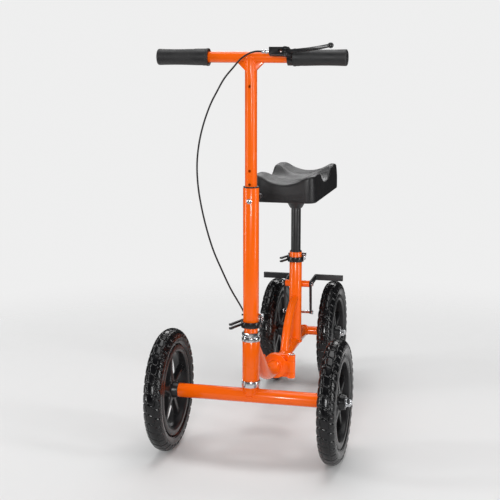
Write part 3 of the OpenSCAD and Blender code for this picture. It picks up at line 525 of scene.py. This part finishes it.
def rim_mesh(name, place):
    """Ring and hub turned from rounded profiles, mirrored about the wheel's middle plane, and the spokes."""
    half_ring = [(ring_in, -ring_in_half), (ring_shoulder_r, -ring_half), (lip_foot_r, -ring_half),
                 (lip_r, -lip_half), (lip_r, -bed_half), (bed_r, -bed_half)]
    half_hub = [(bore_r, -hub_half), (hub_r - 0.003, -hub_half), (hub_r, -0.012)]
    ring = rounded(half_ring + [(r, -y) for r, y in half_ring[::-1]] + [(ring_in - 0.0012, 0)], 0.0005)
    hub = rounded(half_hub + [(r, -y) for r, y in half_hub[::-1]], 0.0008)
    parts = [turned(name, ring, place), turned(name + "_hub", hub, place, 96)]
    for k in range(spoke_count):
        parts.append(surface(name + "_spoke", spoke_grid(place, np.radians(90 + 360 / spoke_count * k))))
    with bpy.context.temp_override(active_object=parts[0], selected_editable_objects=parts):
        bpy.ops.object.join()
    return parts[0]


for corner in corners:
    piece = dress(rim_mesh("rim_" + corner + "_moulding", middle("rim_" + corner)), rim_black)
    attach(piece, "wheel_" + corner)
    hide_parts("rim_" + corner)

# ---- Plated steel ----
# Axles, nuts, bolts, lock pins, headset cups and bearings are bright zinc or ground steel.
zinc_plate = finish_of("zinc_plate", (0.58, 0.59, 0.61), (0.78, 0.79, 0.81), (0.16, 0.3), 0.0015, 0.00002,
                       metallic=1.0)
ground_steel = finish_of("ground_steel", (0.5, 0.5, 0.52), (0.62, 0.62, 0.64), (0.2, 0.34), 0.0008, 0.00002,
                         metallic=1.0)
for node in ("hinge_pin", "rear_axle", "brake_pivot_bolts", "headset_cups", "headset_nuts", "latch_bolt",
             "front_axle_bolts", "column_lock_pin", "seat_lock_pin", "brake_rod", "pad_screws",
             "cable_adjuster"):
    edged(node, 0.0005, zinc_plate)
dress(nodes["headset_bearings"], ground_steel)
for corner in corners:
    dress(nodes["bearings_" + corner], ground_steel)

# ---- Black metal ----
# The seat post, its bracket and the brake yoke are steel with satin black paint. Both clamps, the brake lever
# and its bracket are glossy black castings, held by zinc-plated bolts.
satin_black = finish_of("satin_black", (0.008, 0.008, 0.009), (0.015, 0.015, 0.017), (0.3, 0.42),
                        0.0014, 0.00006)
gloss_black = finish_of("gloss_black", (0.010, 0.010, 0.011), (0.018, 0.018, 0.019), (0.2, 0.32),
                        0.0012, 0.00004)
for node in ("brake_yoke", "seat_post", "seat_bracket"):
    edged(node, 0.0008, satin_black, 3)


def plate_bolts(piece):
    """Gives zinc plate to every loose part of the piece but the one with the most faces: its bolts."""
    piece.data.materials.append(zinc_plate)
    work = bmesh.new()
    work.from_mesh(piece.data)
    left, parts = set(work.faces), []
    while left:
        part, front = set(), [left.pop()]
        while front:
            face = front.pop()
            part.add(face)
            near = {f for edge in face.edges for f in edge.link_faces} & left
            left -= near
            front += near
        parts.append(part)
    for part in sorted(parts, key=len)[:-1]:
        for face in part:
            face.material_index = 1
    work.to_mesh(piece.data)
    work.free()


for node in ("seat_clamp", "column_clamp"):
    plate_bolts(edged(node, 0.0007, gloss_black, 3))
plate_bolts(edged("lever_bracket", 0.0012, gloss_black, 3))
edged("brake_lever", 0.0012, gloss_black, 3)

# ---- Column screw and label ----
# A dome-headed steel screw with a washer holds the plastic bush inside the column's top.
# A blank, dark foil label is stuck on the column's rear right side.
screw_z = 0.633
washer_r, dome_r = 0.0062, 0.0044
washer_top, dome_height = 0.0012, 0.0022
column_r = (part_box("lower_column")[1].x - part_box("lower_column")[0].x) / 2
dome = np.linspace(0, np.pi / 2, 10)
screw_out = np.r_[-0.001, washer_top, washer_top, washer_top + 0.0001,
                  washer_top + 0.0001 + dome_height * np.sin(dome)][:, None]
screw_r = np.r_[washer_r, washer_r, dome_r + 0.0004, dome_r, dome_r * np.cos(dome) + 1e-5][:, None]
ring_angle = np.linspace(0, 2 * np.pi, 40, endpoint=False)[None, :]
screw_grid = np.stack([steer_x + column_r - 0.0004 + screw_out + 0 * ring_angle, screw_r * np.cos(ring_angle),
                       screw_z + screw_r * np.sin(ring_angle)], axis=-1)
bush_screw = dress(surface("bush_screw", screw_grid), zinc_plate)
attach(bush_screw, "steering")
label_foil = finish_of("label_foil", (0.012, 0.012, 0.013), (0.018, 0.018, 0.02), (0.3, 0.36),
                       0.0012, 0.00001)
label_bottom, label_top = 0.535, 0.615
label_from, label_to = np.radians((-158, -92))
foil_out, foil_in = 0.00035, 0.00005
label_z = np.linspace(label_bottom, label_top, 12)[:, None]
label_angle = np.linspace(label_from, label_to, 28)[None, :]
label_skins = []
for r in (column_r + foil_out, column_r + foil_in):
    skin = np.broadcast_arrays(steer_x + r * np.cos(label_angle), r * np.sin(label_angle), label_z)
    label_skins.append(np.stack(skin, axis=-1))
label_grid = np.concatenate([label_skins[0], label_skins[1][:, ::-1]], axis=1)
label = dress(surface("column_label", label_grid), label_foil)
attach(label, "steering")

# ---- Moulded plastic and rubber ----
# Clamp levers, star knob and bushes are moulded nylon; the boots and the hinge's bumper are soft rubber.
nylon = finish_of("moulded_nylon", (0.010, 0.010, 0.011), (0.018, 0.018, 0.020), (0.36, 0.48),
                  0.0008, 0.00006)
soft_rubber = finish_of("soft_rubber", (0.012, 0.012, 0.012), (0.022, 0.022, 0.022), (0.5, 0.66),
                        0.001, 0.00008)
for node in ("column_clamp_lever", "seat_clamp_lever", "star_knob"):
    edged(node, 0.0012, nylon, 3)
for node in ("seat_tube_bush", "column_bush"):
    edged(node, 0.0006, nylon)
for node in ("hinge_bumper", "cable_exit_boot", "cable_entry_boot"):
    edged(node, 0.0008, soft_rubber, 3)

# ---- Grips ----
# Soft rubber sleeves pushed over the handlebar's ends: flared at the inner end, waisted under the palm,
# with a raised leaf that sweeps round them and fine grooves for the fingers.
grip_rubber = finish_of("grip_rubber", (0.013, 0.013, 0.014), (0.026, 0.026, 0.027), (0.42, 0.6),
                        0.0007, 0.00012)
rib_pitch = 0.0036


def grip_mesh(name, side):
    """Radius over length and angle: a flared collar, a leaf that is 0.6 mm proud up to a slanted wavy line, a
    waist, and a rounded outer end; shallow ribs run round the palm's part."""
    low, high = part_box("grip_left" if side > 0 else "grip_right")
    length = high.y - low.y
    half = (high.z - low.z) / 2
    t = np.linspace(0, 1, 150)[:, None]
    angle = np.linspace(0, 2 * np.pi, 96, endpoint=False)[None, :]
    body = half - 0.0013 - 0.0009 * np.sin(np.pi * np.clip((t - 0.22) / 0.78, 0, 1))
    collar = 0.0016 * soft_pulse(t, -1, 0.045, 0.012)
    edge = 0.24 + 0.10 * np.cos(angle - 0.9) + 0.05 * np.cos(2 * angle)
    leaf = 0.0006 * np.clip((edge - t) / 0.012, 0, 1)
    rib_zone = soft_pulse(t, 0.42, 0.90, 0.06) * (0.5 + 0.5 * np.cos(angle - 2.6))
    ribs = -0.0006 * rib_zone * (0.5 - 0.5 * np.cos(t * length / rib_pitch * 2 * np.pi)) ** 2
    r = body + collar + leaf + ribs
    outer_round = np.clip((t - 0.965) / 0.035, 0, 1)
    inner_round = np.clip((0.012 - t) / 0.012, 0, 1)
    r = r - 0.0042 * (1 - np.sqrt(1 - outer_round**2)) - 0.0012 * inner_round**2
    r = np.minimum(r, half)
    inner = low.y if side > 0 else high.y
    y = inner + side * t * length + 0 * angle
    place = middle("grip_left")
    grid = np.stack([place.x + r * np.cos(angle), y, place.z + r * np.sin(angle)], axis=-1)
    return surface(name, grid)


for name, side in (("grip_left", 1), ("grip_right", -1)):
    piece = dress(grip_mesh(name + "_sleeve", side), grip_rubber)
    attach(piece, "handlebar")
    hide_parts(name)

# ---- Knee pad ----
# A one-piece pad of moulded polyurethane foam with a tough black skin: a trough runs along it for the shin,
# a dip across its middle leaves a hump at each corner, and all its edges are rounded over.
pad_skin = finish_of("pad_skin", (0.005, 0.005, 0.006), (0.012, 0.012, 0.013), (0.34, 0.46), 0.0011, 0.0003,
                     mottle=0.03, specular=0.5)
pad_low, pad_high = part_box("seat_pad")
pad_mid = (pad_low + pad_high) / 2
pad_half = (pad_high - pad_low) / 2
trough_depth = 0.0245
dip_depth = 0.033
corner_r = 0.026
edge_r = 0.0075
foot_r = 0.004
side_lean = 0.0025


def outline(count):
    """Rounded rectangle and its outward normals: points at even steps along four lines and four arcs."""
    straight_x, straight_y = pad_half.x - corner_r, pad_half.y - corner_r
    lengths = np.array([2 * straight_y, np.pi / 2 * corner_r, 2 * straight_x, np.pi / 2 * corner_r] * 2)
    ends = np.cumsum(lengths)
    run = np.linspace(0, ends[-1], count, endpoint=False)
    part = np.searchsorted(ends, run, side="right")
    share = (run - (ends - lengths)[part]) / lengths[part]
    quarter = part // 2
    centre_sign = np.array([(1, 1), (-1, 1), (-1, -1), (1, -1)])
    arc = part % 2 == 1
    angle = (quarter + np.where(arc, share, 0)) * np.pi / 2
    centres = centre_sign[quarter] * (straight_x, straight_y)
    before = centre_sign[(quarter - 1) % 4] * (straight_x, straight_y)
    centre = np.where(arc[:, None], centres, before + (centres - before) * share[:, None])
    normal = np.stack([np.cos(angle), np.sin(angle)], axis=-1)
    return centre + corner_r * normal, normal


def smooth_min(a, b, blend):
    """The lower of two heights, with the crease between them rounded over blend."""
    mix = np.clip(0.5 + 0.5 * (b - a) / blend, 0, 1)
    return b * (1 - mix) + a * mix - blend * mix * (1 - mix)


def pad_top(x, y):
    """Height of the pad's upper face: the lower of a trough along x and a dip across it, both circular, with
    soft creases and a slight crown on the humps."""
    trough_half, dip_half = pad_half.y - 0.020, 0.090
    trough_r = (trough_half**2 + trough_depth**2) / (2 * trough_depth)
    dip_r = (dip_half**2 + dip_depth**2) / (2 * dip_depth)
    trough = trough_r - trough_depth - np.sqrt(np.maximum(trough_r**2 - y**2, 1e-9))
    dip = dip_r - dip_depth - np.sqrt(np.maximum(dip_r**2 - x**2, 1e-9))
    flat = -0.0006 - 0.0035 * ((np.abs(x) - 0.13) / 0.055) ** 2
    return smooth_min(smooth_min(trough, dip, 0.007), flat, 0.006)


def pad_mesh():
    """Rings from the middle of the top out to the edge, over a rounded edge, down the sides, under a smaller
    rounded edge and in to the middle of the underside. The sides bulge a little between their ends."""
    line, normal = outline(320)
    rings = []
    inner = line - (edge_r + side_lean) * normal
    for s in np.linspace(0.02, 1, 46):
        xy = inner * s
        rings.append(np.c_[xy, pad_half.z + pad_top(xy[:, 0], xy[:, 1])])
    top_edge = pad_half.z + pad_top(inner[:, 0], inner[:, 1])
    for a in np.linspace(0, np.pi / 2, 9)[1:]:
        rings.append(np.c_[inner + edge_r * np.sin(a) * normal, top_edge - edge_r * (1 - np.cos(a))])
    bottom = -pad_half.z + foot_r
    for s in np.linspace(0, 1, 14)[1:]:
        swell = np.minimum(side_lean * s + 0.0012 * np.sin(np.pi * s), side_lean)
        rings.append(np.c_[inner + (edge_r + swell) * normal, (top_edge - edge_r) * (1 - s) + bottom * s])
    for a in np.linspace(0, np.pi / 2, 6)[1:]:
        rings.append(np.c_[line - foot_r * (1 - np.cos(a)) * normal,
                           np.full(len(line), bottom - foot_r * np.sin(a))])
    for s in (0.9, 0.7, 0.4, 0.1):
        rings.append(np.c_[(line - foot_r * normal) * s, np.full(len(line), -pad_half.z)])
    grid = np.array(rings) + np.array(pad_mid)
    return surface("knee_pad", grid)


knee_pad = dress(pad_mesh(), pad_skin)
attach(knee_pad, "seat")
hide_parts("seat_pad")

# ---- Floor, background and light ----
# A pale studio floor that fades into the background, under a broad soft light overhead. Tall strip lights on
# both sides draw reflections down the tubes, and two more lights fill the front and rim the back.
floor_half = 40
fade_start, fade_end = 0.7, 1.9
background, surroundings, in_reflections = 0.86, 0.34, 0.12
floor_mesh = bpy.data.meshes.new("floor")
floor_corners = [(x * floor_half, y * floor_half, 0) for x, y in ((-1, -1), (1, -1), (1, 1), (-1, 1))]
floor_mesh.from_pydata(floor_corners, [], [(0, 1, 2, 3)])
floor = bpy.data.objects.new("floor", floor_mesh)
scene.collection.objects.link(floor)
floor_paint = finish_of("floor_paint", (0.74, 0.74, 0.74), (0.75, 0.75, 0.75), (0.8, 0.9), 0.01, 0.00001,
                        specular=0.1)
dress(floor, floor_paint)
floor_nodes, floor_link = floor_paint.node_tree.nodes, floor_paint.node_tree.links.new
distance, fade = floor_nodes.new("ShaderNodeVectorMath"), floor_nodes.new("ShaderNodeMapRange")
distance.operation = "LENGTH"
fade.interpolation_type = "SMOOTHSTEP"
fade.inputs["From Min"].default_value = fade_start
fade.inputs["From Max"].default_value = fade_end
where, clear, ends = (floor_nodes.new("ShaderNode" + kind)
                      for kind in ("TexCoord", "BsdfTransparent", "MixShader"))
floor_link(where.outputs["Object"], distance.inputs[0])
floor_link(distance.outputs["Value"], fade.inputs["Value"])
floor_link(fade.outputs["Result"], ends.inputs["Fac"])
floor_link(floor_nodes["Principled BSDF"].outputs["BSDF"], ends.inputs[1])
floor_link(clear.outputs["BSDF"], ends.inputs[2])
floor_link(ends.outputs["Shader"], floor_nodes["Material Output"].inputs["Surface"])


def area_light(name, place, aim, size, power):
    """White rectangular light at a place, turned towards its aim."""
    lamp = bpy.data.objects.new(name, bpy.data.lights.new(name, "AREA"))
    lamp.data.shape = "RECTANGLE"
    lamp.data.size, lamp.data.size_y = size
    lamp.data.energy = power
    lamp.location = place
    lamp.rotation_euler = (Vector(aim) - Vector(place)).to_track_quat("-Z", "Y").to_euler()
    scene.collection.objects.link(lamp)


area_light("overhead", (-0.2, 0, 2.9), (0, 0, 0.4), (2.0, 2.0), 34)
area_light("left_strip", (0.9, 2.5, 1.0), (0, 0, 0.5), (0.4, 2.2), 30)
area_light("right_strip", (0.9, -2.5, 1.0), (0, 0, 0.5), (0.4, 2.2), 30)
area_light("front_fill", (4.6, 0.5, 1.4), (0, 0, 0.5), (0.7, 0.7), 72)
area_light("back_light", (-3.0, -0.4, 2.3), (-0.2, 0, 0.65), (2.4, 0.9), 30)

# The camera sees the background's grey; a darker one lights the scooter, and reflections see it darker still.
world = bpy.data.worlds.new("studio")
scene.world = world
world.use_nodes = True
world_nodes, world_link = world.node_tree.nodes, world.node_tree.links.new
backdrop = world_nodes["Background"]
backdrop.inputs["Color"].default_value = (background, background, background, 1)
around = world_nodes.new("ShaderNodeBackground")
around.inputs["Color"].default_value = (surroundings, surroundings, surroundings, 1)
rays, choice = world_nodes.new("ShaderNodeLightPath"), world_nodes.new("ShaderNodeMixShader")
dim = world_nodes.new("ShaderNodeMapRange")
dim.inputs["To Min"].default_value = 1.0
dim.inputs["To Max"].default_value = in_reflections
world_link(rays.outputs["Is Glossy Ray"], dim.inputs["Value"])
world_link(dim.outputs["Result"], around.inputs["Strength"])
world_link(rays.outputs["Is Camera Ray"], choice.inputs["Fac"])
world_link(around.outputs["Background"], choice.inputs[1])
world_link(backdrop.outputs["Background"], choice.inputs[2])
world_link(choice.outputs["Shader"], world_nodes["World Output"].inputs["Surface"])
scene.view_settings.view_transform = "Standard"
